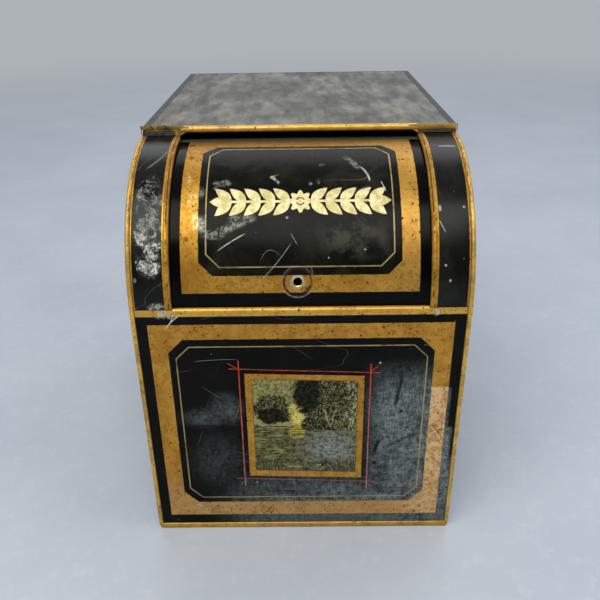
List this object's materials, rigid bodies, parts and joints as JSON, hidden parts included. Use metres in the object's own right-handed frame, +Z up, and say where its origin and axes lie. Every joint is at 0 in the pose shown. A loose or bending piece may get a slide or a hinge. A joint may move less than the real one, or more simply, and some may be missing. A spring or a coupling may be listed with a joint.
{
  "type": "roll-top spice tin",
  "caption": "Grocer's tinplate spice bin, box body with a quarter-round front; a curved lid pivots on inner arms and rolls back under the flat top.",
  "frame": {"origin": "middle of the footprint, on the surface the tin stands on", "axes": "+Z up; +Y from the rolling front to the flat back; +X to the right of someone facing the front"},
  "size_m": [0.205, 0.308, 0.262],
  "materials": {
    "black_japan": "glossy black japan, scratched and scuffed",
    "front_black_japan": "glossy black japan with a speckled gold border, a fine pale line and a small framed landscape",
    "lid_black_japan": "glossy black japan with a speckled gold border, a fine pale line and a cream-gold leaf spray",
    "top_black_japan": "black japan, dulled and streaked by wear",
    "gold_paint": "gold bronze paint, worn and speckled",
    "bare_tin": "dull tinned iron with freckles of rust",
    "iron_wire": "drawn iron wire",
    "rivet_iron": "hammered rivet iron under old black"
  },
  "bodies": {
    "case": {"bottom_panel": "black_japan", "front_panel": "front_black_japan", "front_edge_wire": "iron_wire", "back_panel": "black_japan", "top_panel": "top_black_japan", "top_edge_wire": "iron_wire", "left_side_panel": "black_japan", "right_side_panel": "black_japan", "left_shoulder": "black_japan", "right_shoulder": "black_japan", "left_shoulder_wire": "iron_wire", "right_shoulder_wire": "iron_wire", "left_rim_seam": "gold_paint", "right_rim_seam": "gold_paint", "left_pivot_rivet": "rivet_iron", "right_pivot_rivet": "rivet_iron", "left_pivot_washer": "bare_tin", "right_pivot_washer": "bare_tin", "left_rivet_burr": "rivet_iron", "right_rivet_burr": "rivet_iron"},
    "lid": {"lid_skin": "lid_black_japan", "lid_left_arm": "bare_tin", "lid_right_arm": "bare_tin", "lid_edge_wire": "iron_wire"}
  },
  "joints": [
    {"name": "lid_hinge", "type": "hinge", "parent": "case", "child": "lid", "pos_m": [0, -0.069, 0.1724], "axis": [-1, 0, 0], "range_deg": [0, 74]}
  ]
}
